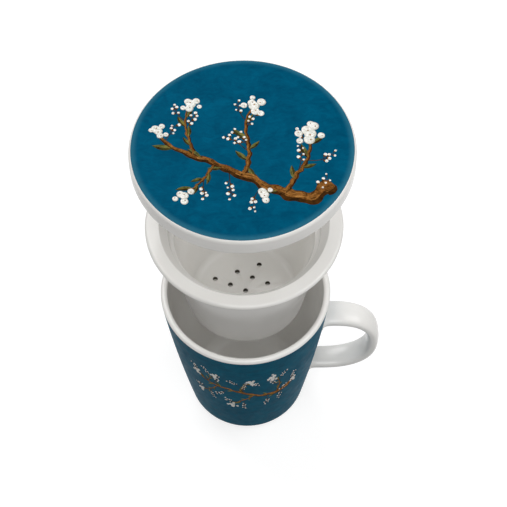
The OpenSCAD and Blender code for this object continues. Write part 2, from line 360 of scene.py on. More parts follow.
class Finish:
    """A material on the mug, with the few nodes that its finishes share."""

    def __init__(self, name, roughness, specular=0.5, ior=1.5):
        self.material = bpy.data.materials.new(name)
        self.material.use_nodes = True
        self.nodes = self.material.node_tree.nodes
        self.links = self.material.node_tree.links
        self.shader = self.nodes["Principled BSDF"]
        self.shader.inputs["Roughness"].default_value = roughness
        self.shader.inputs["Specular IOR Level"].default_value = specular
        self.shader.inputs["IOR"].default_value = ior
        self.place = self.nodes.new("ShaderNodeTexCoord").outputs["Object"]

    def node(self, kind, **settings):
        """A new node with its settings."""
        made = self.nodes.new(kind)
        for key, value in settings.items():
            setattr(made, key, value)
        return made

    def clouds(self, size, detail=3.0, roughness=0.5, swirl=0.0, squeeze=(1, 1, 1)):
        """Soft noise with patches of about that size in metres, narrower where squeeze is over 1."""
        noise = self.node("ShaderNodeTexNoise")
        noise.inputs["Scale"].default_value = 1 / size
        noise.inputs["Detail"].default_value = detail
        noise.inputs["Roughness"].default_value = roughness
        noise.inputs["Distortion"].default_value = swirl
        pressed = self.node("ShaderNodeVectorMath", operation="MULTIPLY")
        pressed.inputs[1].default_value = squeeze
        self.links.new(self.place, pressed.inputs[0])
        self.links.new(pressed.outputs["Vector"], noise.inputs["Vector"])
        return noise.outputs["Fac"]

    def average(self, first, second):
        """The mean of two shares."""
        mix = self.node("ShaderNodeMix")
        self.links.new(first, mix.inputs["A"])
        self.links.new(second, mix.inputs["B"])
        return mix.outputs["Result"]

    def blend(self, share, low, high, dark, light):
        """A colour from dark to light as share goes from low to high."""
        ramp = self.node("ShaderNodeValToRGB")
        ramp.color_ramp.elements[0].position = low
        ramp.color_ramp.elements[0].color = (*dark, 1)
        ramp.color_ramp.elements[1].position = high
        ramp.color_ramp.elements[1].color = (*light, 1)
        self.links.new(share, ramp.inputs["Fac"])
        return ramp.outputs["Color"]

    def colour(self, value):
        """Gives the shader its colour."""
        self.links.new(value, self.shader.inputs["Base Color"])

    def shine(self, share, low, high):
        """Lets the roughness wander between low and high, as share does in noise's usual range."""
        reach = self.node("ShaderNodeMapRange")
        reach.inputs["From Min"].default_value = NOISE_LOW
        reach.inputs["From Max"].default_value = NOISE_HIGH
        reach.inputs["To Min"].default_value = low
        reach.inputs["To Max"].default_value = high
        self.links.new(share, reach.inputs["Value"])
        self.links.new(reach.outputs["Result"], self.shader.inputs["Roughness"])

    def ripple(self, share, depth):
        """Raises the surface by up to depth metres where share is high."""
        bump = self.node("ShaderNodeBump")
        bump.inputs["Strength"].default_value = 1.0
        bump.inputs["Distance"].default_value = depth
        self.links.new(share, bump.inputs["Height"])
        self.links.new(bump.outputs["Normal"], self.shader.inputs["Normal"])


def clear_glaze(name, cream, white):
    """Clear glossy glaze over a white body, pooling a little creamier."""
    finish = Finish(name, roughness=0.2)
    pools = finish.clouds(30 * MM)
    finish.colour(finish.blend(pools, low=0.35, high=0.68, dark=cream, light=white))
    finish.shine(finish.clouds(12 * MM), low=0.16, high=0.26)
    finish.ripple(finish.clouds(5 * MM, detail=2.0), depth=0.02 * MM)
    return finish.material


def bare_clay(name, clay):
    """Fired clay without glaze."""
    finish = Finish(name, roughness=0.85, specular=0.3)
    dark = tuple(0.8 * c for c in clay)
    grains = finish.clouds(1.2 * MM, detail=4.0)
    finish.colour(finish.blend(grains, NOISE_LOW, NOISE_HIGH, dark=dark, light=clay))
    finish.ripple(finish.clouds(0.4 * MM, detail=3.0), depth=0.04 * MM)
    return finish.material


def teal_glaze(name, deep, teal, thin=None, highlight_radius=0.0):
    """Cloudy teal glaze. Where a rim colour is given, a painted highlight lightens the teal to that
    colour towards the given radius.
    """
    finish = Finish(name, roughness=0.42, ior=SATIN_IOR)
    clouds = finish.clouds(13 * MM, detail=8.0, roughness=0.7, swirl=0.6)
    strokes = finish.clouds(6 * MM, detail=6.0, roughness=0.7, swirl=1.2, squeeze=(1, 1.8, 1.8))
    both = finish.average(clouds, strokes)
    cloudy = finish.blend(both, low=0.40, high=0.62, dark=deep, light=teal)
    if thin:
        cloudy = rim_highlighted(finish, cloudy, thin, highlight_radius)
    finish.colour(cloudy)
    finish.shine(finish.clouds(4 * MM, detail=4.0), low=0.34, high=0.48)
    finish.ripple(finish.clouds(1.1 * MM, detail=5.0, roughness=0.6), depth=0.02 * MM)
    return finish.material


def rim_highlighted(finish, teal, thin, radius):
    """The teal colour, going over to a lighter one in the last millimetres before radius: a painted
    highlight on the lid's rounded edge.
    """
    flat = finish.node("ShaderNodeVectorMath", operation="MULTIPLY")
    flat.inputs[1].default_value = (1, 1, 0)
    finish.links.new(finish.place, flat.inputs[0])
    far = finish.node("ShaderNodeVectorMath", operation="LENGTH")
    finish.links.new(flat.outputs["Vector"], far.inputs[0])
    # Painted highlight: the teal lightens across this band at the rim.
    fade = finish.node("ShaderNodeMapRange", interpolation_type="SMOOTHSTEP")
    fade_start = radius - 3.2 * MM
    fade_end = radius + 0.5 * MM
    fade.inputs["From Min"].default_value = fade_start
    fade.inputs["From Max"].default_value = fade_end
    finish.links.new(far.outputs["Value"], fade.inputs["Value"])
    mix = finish.node("ShaderNodeMix", data_type="RGBA")
    mix.inputs["B"].default_value = (*thin, 1)
    finish.links.new(fade.outputs["Result"], mix.inputs["Factor"])
    finish.links.new(teal, mix.inputs["A"])
    return mix.outputs["Result"]


def enamel(name, dark, light, grain):
    """Fired enamel, brushed on, with streaks of two shades."""
    finish = Finish(name, roughness=0.5, ior=SATIN_IOR)
    streaks = finish.clouds(grain, detail=5.0, roughness=0.6, swirl=0.5)
    finish.colour(finish.blend(streaks, low=0.36, high=0.62, dark=dark, light=light))
    finish.ripple(finish.clouds(grain / 2, detail=3.0), depth=0.03 * MM)
    return finish.material


def lighter(rgb, lift):
    """A colour with its light raised, up to the brightest enamel."""
    return tuple(min(BRIGHTEST, lift * c) for c in rgb)


def enamels(colours, place, lift):
    """The enamel for each paint of the spray in that place, with each shade raised by lift, which on the
    mug's wall is painted light.
    """
    berry_edge = lighter(colours.berry_shade, 0.7)
    # The darker shade, the lighter shade and the size of the streaks in millimetres.
    tones = {
        "shade": (colours.deep_bark, colours.dark_bark, 2.2),
        "bark": (colours.dark_bark, colours.bark, 1.6),
        "streak": (colours.bark, colours.light_bark, 1.2),
        "leaf_shade": (colours.deep_bark, colours.dark_leaf, 2.5),
        "leaf": (colours.dark_leaf, colours.leaf, 2.5),
        "berry_shade": (berry_edge, colours.berry_shade, 2.0),
        "berry": (colours.berry_shade, colours.berry, 0.9),
        "gilt": (colours.dark_bark, colours.gilt, 1.2),
    }
    made = {}
    for paint, (dark, light, grain) in tones.items():
        name = f"{place}_{paint}_enamel"
        made[paint] = enamel(name, lighter(dark, lift), lighter(light, lift), grain * MM)
    return made


# --- Pieces of the mug ----------------------------------------------------------------------


def mug_outline(sizes):
    """Outline of the mug's body, from the axis below round to the axis on the floor inside."""
    lip = sizes.wall / 2
    lip_height = node_top("mug_body") - lip
    heel_centre, heel_lean, heel_top = heel_arc(sizes)
    foot_outer = heel_centre[0] + sizes.foot_offset
    foot_inner = foot_outer - sizes.foot_width
    foot_angle = -math.degrees(math.acos(sizes.foot_offset / sizes.heel))
    foot_corner = 0.6 * MM
    recess_corner = 0.5 * MM
    floor = sizes.foot_height + sizes.floor
    cove_centre, cove_lean, cove_top = wall_arc(sizes, floor + sizes.cove, sizes.cove, sizes.wall)
    heel = arc(heel_centre, sizes.heel, foot_angle, -heel_lean, steps=20)
    foot = softened(
        [
            (0, sizes.foot_height, 0),
            (foot_inner, sizes.foot_height, recess_corner),
            (foot_inner, 0, foot_corner),
            (foot_outer, 0, foot_corner),
            (*heel[0], 0),
        ]
    )
    outside = heel[1:] + wall_line(sizes, heel_top, lip_height, 0, steps=40)[1:]
    rim = node_radius("mug_body")
    outside = [(r - sizes.colour_depth, z) for r, z in outside] + [(rim, lip_height)]
    lip_arc = arc((rim - lip, lip_height), lip, 0, 180, steps=24)[1:]
    inside = wall_line(sizes, lip_height, cove_top, sizes.wall, steps=40)[1:-1]
    cove = arc(cove_centre, sizes.cove, -cove_lean, -90, steps=16)
    return foot + outside + lip_arc + inside + cove + [(0, floor)]


def band_outline(sizes):
    """Outline of the coloured band on the mug's wall and heel, a closed loop."""
    lip_height = node_top("mug_body") - sizes.wall / 2
    heel_centre, heel_lean, heel_top = heel_arc(sizes)
    start = NODE_BOX["mug_glaze"][0].z
    start_angle = math.degrees(math.asin((start - heel_centre[1]) / sizes.heel))
    outside = arc(heel_centre, sizes.heel, start_angle, -heel_lean, steps=16)
    outside += wall_line(sizes, heel_top, lip_height, 0, steps=60)[1:]
    soft_edge = 0.12 * MM
    lean_in = 0.15 * soft_edge
    top_r, top_z = outside[-1]
    outside[-1:] = [(top_r - lean_in, top_z - soft_edge), (top_r - soft_edge, top_z)]
    inside = [(r - sizes.colour_depth, z) for r, z in reversed(outside[:-2])]
    return outside + inside


def handle_line(sizes, handle, root_steps=20, bend_steps=110):
    """Points (x, z) of the strap's centre line, from inside the wall out, down and back."""
    upper = node_top("mug_body") - handle.drop
    lower = upper - handle.height
    middle = (upper + lower) / 2
    far = NODE_BOX["mug_handle"][1].x - handle.thickness / 2
    sink = sizes.wall / 2
    power = 2 / handle.fullness
    top_start = wall_radius(sizes, upper) + handle.upper_run
    bottom_start = wall_radius(sizes, lower) + handle.lower_run
    line = []
    for i in range(root_steps):
        out = (handle.upper_run + sink) * i / root_steps
        line.append((wall_radius(sizes, upper) - sink + out, upper))
    for i in range(bend_steps + 1):
        angle = math.pi * i / bend_steps
        sign = 1 if angle <= math.pi / 2 else -1
        start = top_start if sign > 0 else bottom_start
        out = max(math.sin(angle), 0) ** power
        up = abs(math.cos(angle)) ** power
        line.append((start + (far - start) * out, middle + sign * handle.height / 2 * up))
    for i in range(1, root_steps + 1):
        line.append((bottom_start - (handle.lower_run + sink) * i / root_steps, lower))
    return line


def signed_power(value, power):
    """value raised to power, with its sign kept."""
    return math.copysign(abs(value) ** power, value)


def root_flare(sizes, handle, point):
    """How far the strap spreads at a point near the wall: a wide flare and a small fillet."""
    away = math.hypot(point.x, point.y) - wall_radius(sizes, point.z)
    flare_length = 3.6 * MM
    most_flare = 0.16
    flare = most_flare * max(0, 1 - max(away, 0) / flare_length) ** 2
    near = min(max(1 - away / handle.root_fillet, 0), 1)
    fillet = handle.root_fillet * (1 - math.sqrt(max(0, 1 - near * near)))
    return flare, fillet


def strap_rings(sizes, handle, count=44):
    """Rings of points around the strap, with a soft rectangular section."""
    line = handle_line(sizes, handle)
    last = len(line) - 1
    squareness = 0.8
    rings = []
    for i, (x, z) in enumerate(line):
        before, after = line[max(i - 1, 0)], line[min(i + 1, last)]
        along = Vector((after[0] - before[0], after[1] - before[1])).normalized()
        across = Vector((-along.y, 0, along.x))
        middle = Vector((x, 0, z))
        half_width = (handle.top_width + (handle.bottom_width - handle.top_width) * i / last) / 2
        ring = []
        for k in range(count):
            angle = FULL_TURN * k / count
            way = Vector((0, signed_power(math.cos(angle), squareness) * half_width, 0))
            way += across * signed_power(math.sin(angle), squareness) * handle.thickness / 2
            flare, fillet = root_flare(sizes, handle, middle + way)
            ring.append(middle + way * (1 + flare) + way.normalized() * fillet)
        rings.append(ring)
    return rings


def make_handle_mesh(sizes, handle):
    """The strap handle as one smooth skin, closed inside the wall."""
    work = bmesh.new()
    rings = [[work.verts.new(point) for point in ring] for ring in strap_rings(sizes, handle)]
    for before, after in zip(rings, rings[1:]):
        bridge(work, before, after)
    work.faces.new(rings[0])
    work.faces.new(rings[-1])
    return mesh_of(work, "mug_strap")


def basket_outline(sizes):
    """Outline of the infuser basket, from the axis below round to the axis on its floor."""
    top = node_top("infuser_basket")
    bottom = NODE_BOX["infuser_basket"][0].z
    flange_radius = node_radius("infuser_basket")
    under = top - sizes.flange
    neck_bottom = under - sizes.neck_depth
    mouth_radius = sizes.neck_radius - sizes.neck_wall
    shoulder_inside = sizes.neck_low_radius - sizes.neck_wall - sizes.shoulder
    floor = bottom + sizes.floor
    lean = (sizes.neck_low_radius - sizes.basket_radius) / (neck_bottom - bottom)
    foot_inside = sizes.basket_radius + lean * sizes.floor - sizes.wall
    neck_inside = sizes.neck_low_radius - sizes.neck_wall
    step_corner = 1.5 * MM
    flange_corner = 1.2 * MM
    mouth_corner = 0.45 * MM
    # A little less than half of the flange, so that the two round corners of its rim don't touch.
    rim_corner = sizes.flange / 2.02
    return softened(
        [
            (0, bottom, 0),
            (sizes.basket_radius, bottom, sizes.edge),
            (sizes.neck_low_radius, neck_bottom, step_corner),
            (sizes.neck_radius, under, flange_corner),
            (flange_radius, under, rim_corner),
            (flange_radius, top, rim_corner),
            (mouth_radius + sizes.mouth_width, top, mouth_corner),
            (mouth_radius, top - sizes.mouth_depth, sizes.inner_bend),
            (neck_inside, neck_bottom + sizes.shoulder, sizes.inner_bend),
            (shoulder_inside, neck_bottom, sizes.inner_bend),
            (foot_inside, floor, sizes.cove),
            (0, floor, 0),
        ]
    )


def drill_outline(sizes):
    """Outline of the drill bit, which widens where it goes in and out of the basket's floor."""
    bottom = NODE_BOX["infuser_basket"][0].z
    top = bottom + sizes.floor
    radius = sizes.hole_radius
    flare = 0.35 * MM
    bend = 0.3 * flare
    return [
        (0, bottom - MM),
        (radius + flare, bottom - MM),
        (radius + flare, bottom),
        (radius, bottom + flare),
        (radius, top - flare),
        (radius + bend, top - bend),
        (radius + flare, top),
        (radius + flare, top + MM),
        (0, top + MM),
    ]


def drill_bits(sizes):
    """One drill bit for each hole of the square grid, all in one object."""
    work = bmesh.new()
    outline = drill_outline(sizes)
    reach = sizes.hole_steps
    turn = Matrix.Rotation(sizes.hole_turn, 3, "Z")
    for i in range(-reach, reach + 1):
        for j in range(-reach, reach + 1):
            if abs(i) + abs(j) <= reach:
                bit = turned("drill_bit", outline, steps=40)
                bit.transform(Matrix.Translation(turn @ Vector((i, j, 0)) * sizes.hole_pitch))
                work.from_mesh(bit)
                bpy.data.meshes.remove(bit)
    return add_object("drill_bits", mesh_of(work, "drill_bits"))


def without_slivers(mesh):
    """Takes the faces without area out of a mesh."""
    work = bmesh.new()
    work.from_mesh(mesh)
    bmesh.ops.dissolve_degenerate(work, edges=work.edges, dist=0.001 * MM)
    work.to_mesh(mesh)
    work.free()


def drill_holes(piece, sizes):
    """Cuts the drain holes. Their upright walls get the piece's second material, a dark clay that is
    painted shade inside the holes.
    """
    bits = drill_bits(sizes)
    upright = 0.1
    for face in bits.data.polygons:
        face.material_index = 1 if abs(face.normal.z) < upright else 0
    cut = piece.modifiers.new("drain_holes", "BOOLEAN")
    cut.operation = "DIFFERENCE"
    cut.solver = "EXACT"
    cut.object = bits
    bpy.context.view_layer.update()
    depsgraph = bpy.context.evaluated_depsgraph_get()
    drilled = bpy.data.meshes.new_from_object(piece.evaluated_get(depsgraph))
    if len(drilled.vertices) <= len(piece.data.vertices):
        raise RuntimeError("the drain holes weren't cut")
    without_slivers(drilled)
    drilled.set_sharp_from_angle(angle=SHARP_ANGLE)
    piece.modifiers.clear()
    piece.data = drilled
    bpy.data.objects.remove(bits)


def lid_outline(sizes):
    """Outline of the lid's body, from the axis below round to the axis on top."""
    top = node_top("lid_glaze")
    low = NODE_BOX["lid_body"][0].z
    seat = low + sizes.ring_height
    radius = node_radius("lid_body")
    inner = sizes.ring_radius - sizes.ring_width
    hollow = top - sizes.web
    ring_corner = 1.0 * MM
    seat_corner = 0.5 * MM
    under = softened(
        [
            (0, hollow, 0),
            (inner, hollow, ring_corner),
            (inner, low, ring_corner),
            (sizes.ring_radius, low, ring_corner),
            (sizes.ring_radius, seat, seat_corner),
            (radius, seat, sizes.bottom_edge),
            (radius, (seat + top) / 2, 0),
        ]
    )
    shoulder = shoulder_arc(sizes, start=0)
    edge_radius, edge_height = colour_edge(sizes)[-1]
    recess = 0.3 * MM
    return under + shoulder + [(edge_radius, edge_height - recess), (0, top - sizes.sunk - recess)]


def shoulder_arc(sizes, start):
    """The lid's round upper edge, from that angle to where white edge and colour meet."""
    centre = (node_radius("lid_body") - sizes.top_edge, node_top("lid_glaze") - sizes.top_edge)
    meeting = math.degrees(math.acos(1 - sizes.white_edge / sizes.top_edge))
    return arc(centre, sizes.top_edge, start, meeting, steps=14)


def colour_edge(sizes):
    """The lid's coloured surface from its flat middle out to the white edge, as (r, z)."""
    return [(r, z - sizes.sunk) for r, z in shoulder_arc(sizes, start=90)]


def lid_colour_outline(sizes):
    """Outline of the thin coloured disc, from the axis on top out and back below."""
    edge = colour_edge(sizes)
    skin = 0.25 * MM
    flat_radius, flat_height = edge[0]
    flat_rings = 6
    flat = [(flat_radius * i / flat_rings, flat_height) for i in range(flat_rings)]
    above = flat + edge
    return above + [(r, z - skin) for r, z in reversed(above)]


# --- Painted sprays -------------------------------------------------------------------------

# The way on a sheet from which the sprays are lit.
LIGHT_SIDE = Vector((-0.5, 1.0))
PAINTS = ("shade", "bark", "streak", "leaf_shade", "leaf", "berry_shade", "berry", "gilt")

# Sections of a stroke, as (share of its half width, lift): the whole, and from the middle outwards.
FULL_DOME = ((-1.0, 0.0), (-0.78, 0.6), (-0.35, 0.95), (0.35, 0.95), (0.78, 0.6), (1.0, 0.0))
HALF_DOME = ((0.0, 0.75), (0.3, 1.0), (0.7, 0.75), (1.0, 0.0))
# Section of a drop, as (share of its radius, lift), from the rim inwards.
DROP_DOME = ((1.0, 0.0), (0.92, 0.45), (0.7, 0.8), (0.4, 0.96))

# How high each stroke rises, from 0 just under the glaze to 1 at full relief.
TWIG_RISE = 0.42
BRANCH_RISE = 0.5
LEAF_SHADE_RISE = 0.56
LEAF_RISE = 0.6
BARK_RISE = 0.62
VEIN_RISE = 0.68
STREAK_RISE = 0.74
# The edge of a stroke lies this share of the relief under the glaze.
UNDERCUT = 0.06

# The usual angle between a leaf and its branch, in radians.
LEAF_LEAN = 0.85
# The turn from one berry of a cluster to the next, which fills the round evenly.
BERRY_TURN = 2.4


class LidSheet:
    """The lid's flat top, as a sheet in millimetres with x to the handle and y away."""

    def __init__(self, top):
        self.top = top

    def lay(self, x, y, height):
        """The point at that height over a place on the sheet."""
        return Vector((x * MM, y * MM, self.top + height))

    def outward(self, point):
        """The way out of the glaze."""
        return Vector((0, 0, 1))


class WallSheet:
    """The mug's wall, as a sheet in millimetres with x around from the front and y up."""

    # Height of the spray's middle above the table, in millimetres.
    middle = 61
    # The spray is drawn this much taller, so that it looks well proportioned from above.
    tall = 1.5

    def __init__(self, sizes):
        self.sizes = sizes

    def lay(self, x, y, height):
        """The point at that height over a place on the sheet."""
        z = (self.middle + self.tall * y) * MM
        radius = wall_radius(self.sizes, z)
        angle = x * MM / radius - math.pi / 2
        reach = radius + height
        return Vector((reach * math.cos(angle), reach * math.sin(angle), z))

    def outward(self, point):
        """The way out of the glaze."""
        return Vector((point.x, point.y, 0))


def heading(angle):
    """The direction at that angle on a sheet."""
    return Vector((math.cos(angle), math.sin(angle)))


def curve(points, steps):
    """Points on the Bezier curve of any number of control points."""
    line = []
    for i in range(steps + 1):
        level = [Vector(point) for point in points]
        while len(level) > 1:
            level = [a.lerp(b, i / steps) for a, b in zip(level, level[1:])]
        line.append(level[0])
    return line


def sides(line):
    """The unit normals along a line, on its left."""
    last = len(line) - 1
    ways = [line[min(i + 1, last)] - line[max(i - 1, 0)] for i in range(last + 1)]
    return [Vector((-way.y, way.x)).normalized() for way in ways]


class Spray:
    """Snowberry branches, brushed in raised enamel on a sheet that lies on the ware.

    Sizes are in millimetres at scale 1.
    """

    def __init__(self, sheet, relief, scale, seed):
        self.sheet = sheet
        self.relief = relief
        self.scale = scale
        self.chance = random.Random(seed)
        self.layers = {paint: bmesh.new() for paint in PAINTS}

    def point(self, paint, place, rise):
        """A vertex over a place on the sheet, where rise 0 is just under the glaze and 1 full relief."""
        height = (rise * (1 + UNDERCUT) - UNDERCUT) * self.relief
        return self.layers[paint].verts.new(self.sheet.lay(place.x, place.y, height))

    def stroke(self, paint, line, half_widths, rise, dome=FULL_DOME):
        """A domed brush stroke along a line."""
        rows = []
        for here, side, half in zip(line, sides(line), half_widths):
            row = [(here + side * half * across, rise * lift) for across, lift in dome]
            rows.append([self.point(paint, place, height) for place, height in row])
        for before, after in zip(rows, rows[1:]):
            bridge(self.layers[paint], before, after, closed=False)

    def drop(self, paint, centre, radius, low, high):
        """A round drop of enamel from a low rise at its rim to a high one."""
        steps = 18
        rings = []
        for share, lift in DROP_DOME:
            spots = [centre + heading(FULL_TURN * k / steps) * radius * share for k in range(steps)]
            rings.append([self.point(paint, spot, low + (high - low) * lift) for spot in spots])
        rings.append([self.point(paint, centre, high)])
        for before, after in zip(rings, rings[1:]):
            bridge(self.layers[paint], before, after)

    def swell(self, steps, waves):
        """Smooth chance values between -1 and 1 along a line, from waves that many to its length."""
        phases = [self.chance.uniform(0, FULL_TURN) for _ in waves]
        values = []
        for i in range(steps + 1):
            turns = [FULL_TURN * wave * i / steps for wave in waves]
            heights = [math.sin(turn + phase) for turn, phase in zip(turns, phases)]
            values.append(sum(heights) / len(waves))
        return values

    def branch(self, points, thick, thin, steps):
        """A woody branch with a shaded side, streaks of bark and a tapering tip."""
        knots = self.swell(steps, (4, 9, 15))
        bends = self.swell(steps, (2, 5, 8))
        taper = 0.6
        knottiness = 0.28
        half = []
        for i, knot in enumerate(knots):
            width = thick + (thin - thick) * (i / steps) ** taper
            half.append(width * (1 + knottiness * knot) / 2 * self.scale)
        # Both ends are rounded off.
        half[:3] = [0.45 * half[0], 0.8 * half[1], 0.95 * half[2]]
        half[-2:] = [0.8 * half[-2], 0.4 * half[-1]]
        wander = 0.55
        steady_steps = 6
        smooth = curve(points, steps)
        line = [
            here + side * wander * bend * w * min(1, i / steady_steps)
            for i, (here, side, bend, w) in enumerate(zip(smooth, sides(smooth), bends, half))
        ]
        normals = sides(line)
        lit = 1 if sum(normal.dot(LIGHT_SIDE) for normal in normals) > 0 else -1
        bark_shift = 0.15
        bark_width = 0.8
        core = [here + side * lit * bark_shift * w for here, side, w in zip(line, normals, half)]
        self.stroke("shade", line, half, BRANCH_RISE)
        self.stroke("bark", core, [bark_width * w for w in half], BARK_RISE)
        streaks = int(14 * thick)
        for _ in range(streaks):
            self.bark_streak(line, normals, half, lit)
        return line

    def bark_streak(self, line, normals, half, lit):
        """One short streak along a branch, light on its lit side and dark on the other."""
        count = self.chance.randint(3, 8)
        first = self.chance.randint(0, len(line) - 1 - count)
        across = self.chance.uniform(-0.75, 0.75)
        run = range(first, first + count + 1)
        path = [line[i] + normals[i] * half[i] * across for i in run]
        width = self.chance.uniform(0.05, 0.17)
        blunt = 0.2
        taper = [math.sin(math.pi * (i - first + blunt) / (count + 2 * blunt)) for i in run]
        widths = [half[i] * width * share for i, share in zip(run, taper)]
        dark = across * lit < self.chance.uniform(-0.5, 0.1)
        self.stroke("shade" if dark else "streak", path, widths, STREAK_RISE)

    def twig(self, points, thick, steps=24):
        """A thin dark twig, and its line."""
        line = curve(points, steps)
        thinning = 0.6
        half = [thick * (1 - thinning * i / steps) / 2 * self.scale for i in range(steps + 1)]
        self.stroke("shade", line, half, TWIG_RISE)
        return line

    def leaf(self, root, angle, size, bend):
        """A pointed leaf, lit on one half, with a pale vein."""
        steps = 12
        way = heading(angle) * size * self.scale
        side = Vector((-way.y, way.x)) * bend
        line = [root + way * (i / steps) + side * (i / steps) ** 2 for i in range(steps + 1)]
        widest = 0.165 * size * self.scale
        stalk = 0.03
        fullness = 0.8
        tip = 0.02
        shares = [min(1, stalk + i / steps) for i in range(steps)]
        half = [widest * math.sin(math.pi * share) ** fullness for share in shares] + [tip]
        vein = [0.09 * self.scale * (1.1 - i / steps) for i in range(steps)]
        lit = 1 if Vector((-way.y, way.x)).dot(LIGHT_SIDE) > 0 else -1
        self.stroke("leaf", line, [lit * w for w in half], LEAF_RISE, HALF_DOME)
        self.stroke("leaf_shade", line, [-lit * w for w in half], LEAF_SHADE_RISE, HALF_DOME)
        self.stroke("streak", line[:-1], vein, VEIN_RISE)

    def leaves(self, line, size, first, last, gap):
        """Leaves in turn on both sides of a line, between two shares of its length."""
        share = first
        turn = 1
        while share < last:
            i = int(share * (len(line) - 2))
            along = line[i + 1] - line[i]
            angle = math.atan2(along.y, along.x) + turn * LEAF_LEAN * self.chance.uniform(0.7, 1.25)
            leaf_size = size * self.chance.uniform(0.7, 1.15)
            self.leaf(line[i], angle, leaf_size, -turn * self.chance.uniform(0.1, 0.3))
            share += gap * self.chance.uniform(0.75, 1.25)
            turn = -turn

    def berry(self, centre, radius, low):
        """A pale berry with a shaded edge and the gilt mark of its calyx, a dot with spokes."""
        radius *= self.scale
        shady_side = Vector((0.16, -0.2)) * radius
        self.drop("berry_shade", centre + shady_side * 0.35, radius * 1.03, low, low + 0.12)
        self.drop("berry", centre - shady_side * 0.3, radius * 0.95, low + 0.03, low + 0.2)
        mark = centre + heading(self.chance.uniform(0, FULL_TURN)) * radius * 0.3
        self.drop("gilt", mark, radius * 0.2, low + 0.1, low + 0.24)
        start = self.chance.uniform(0, FULL_TURN)
        spokes = 5
        spoke_half = [share * radius for share in (0.05, 0.045, 0.02)]
        for k in range(spokes):
            way = heading(start + FULL_TURN * k / spokes) * radius
            spoke = [mark + way * reach for reach in (0.22, 0.36, 0.5)]
            self.stroke("gilt", spoke, spoke_half, low + 0.23)

    def bud(self, centre, radius, angle):
        """A small pale bud in a dark cup with a light middle."""
        cup_size = 0.8
        cup = centre - heading(angle) * radius * cup_size * self.scale
        self.drop("shade", cup, radius * cup_size * self.scale, low=0, high=0.55)
        self.drop("berry", centre, radius * 0.85 * self.scale, low=0.3, high=0.7)
        self.drop("streak", cup, radius * 0.35 * self.scale, low=0.5, high=0.74)

    def cluster(self, centre, count, radius):
        """Berries crowded round a point, with the largest on top in the middle."""
        spacing = 1.12
        for i in reversed(range(count)):
            angle = BERRY_TURN * i + self.chance.uniform(-0.4, 0.4)
            reach = spacing * radius * math.sqrt(i) * self.chance.uniform(0.85, 1.1) * self.scale
            size = radius * (1.15 - 0.6 * i / count) * self.chance.uniform(0.85, 1.12)
            rise = 0.72 - 0.2 * i / count
            self.berry(centre + heading(angle) * reach, size, rise)

    def spray_of_buds(self, root, angle, size, count, radius):
        """A long fine twig with that many side twigs, each with a bud at its tip."""
        way = heading(angle) * size * self.scale
        side = Vector((-way.y, way.x)) * self.chance.uniform(-0.35, 0.35)
        line = self.twig([root, root + way * 0.5 + side, root + way], thick=0.42)
        last = len(line) - 1
        bare = 0.35
        for i in range(count):
            fork = line[int(last * (bare + (1 - bare) * (i + 1) / count))]
            tip = angle + (1 if i % 2 else -1) * self.chance.uniform(0.35, 0.95)
            reach = heading(tip) * self.chance.uniform(1.5, 3.4) * radius * self.scale
            self.twig([fork, fork + reach * 0.5, fork + reach], thick=0.26, steps=6)
            self.bud(fork + reach, radius * self.chance.uniform(0.65, 1.2), tip)

    def pieces(self, prefix, materials, body):
        """Turns each paint into a piece that rides on the body."""
        for paint, work in self.layers.items():
            mesh = bpy.data.meshes.new(f"{prefix}_{paint}")
            bmesh.ops.recalc_face_normals(work, faces=work.faces)
            for face in work.faces:
                if face.normal.dot(self.sheet.outward(face.calc_center_median())) < 0:
                    face.normal_flip()
            work.to_mesh(mesh)
            work.free()
            finish_piece(f"{prefix}_{paint}", mesh, [materials[paint]], body)


def shoot(spray, root, path, thick, fruit, leaf_size, twigs):
    """A side branch with leaves, budding twigs and berries at its tip.

    Path is in steps from the root, and fruit is the number and size of the berries. Each twig is
    its place on the branch, its turn from it, its length and its number of buds.
    """
    steps = 48
    points = [root] + [root + Vector(step) * spray.scale for step in path]
    line = spray.branch(points, thick, 0.35 * thick, steps)
    spray.leaves(line, leaf_size, first=0.25, last=0.92, gap=0.2)
    for share, turn, size, buds in twigs:
        i = int(share * steps)
        along = line[i + 1] - line[i - 1]
        angle = math.atan2(along.y, along.x) + turn
        spray.spray_of_buds(line[i], angle, size, buds, radius=0.8)
    spray.cluster(line[-1], *fruit)


def lid_spray(sheet, relief):
    """The branch across the lid."""
    spray = Spray(sheet, relief, scale=1.0, seed=7)
    points = [(37.5, -20.5), (22, -37), (4, -22), (-6, 2), (-30, -12), (-36, 9)]
    main = spray.branch(points, thick=8.4, thin=1.6, steps=120)
    crown = ((0.35, 0.7, 13, 6), (0.6, -0.7, 12, 6), (0.8, 0.6, 10, 5))
    full_crown = ((0.3, 0.9, 14, 7), *crown)
    side_twig = ((0.4, 0.9, 9, 5),)
    pair = ((0.4, -0.8, 12, 6), (0.7, 0.7, 9, 5))
    shoot(spray, main[30], [(5, 12), (13, 17), (11, 31)], 3.2, (8, 2.1), 8.0, crown)
    shoot(spray, main[58], [(9, 11), (-3, 24), (6, 37)], 3.0, (7, 1.9), 7.5, full_crown)
    shoot(spray, main[75], [(-4, -7), (-7, -11), (-13, -16)], 2.0, (5, 1.7), 7.0, side_twig)
    shoot(spray, main[88], [(-2, 9), (-7, 19), (-2, 29)], 2.1, (6, 1.7), 7.0, pair)
    spray.leaves(main, 8.0, first=0.3, last=0.95, gap=0.14)
    twigs = ((112, 1.1, 9, 5), (44, -1.9, 12, 6), (16, 0.9, 13, 6), (66, -1.5, 13, 7))
    for place, angle, size, buds in twigs:
        spray.spray_of_buds(main[place], angle, size, buds, radius=0.8)
    spray.cluster(main[-1], count=6, radius=1.6)
    spray.cluster(main[40] + Vector((-2.5, -3.0)), count=4, radius=1.7)
    return spray


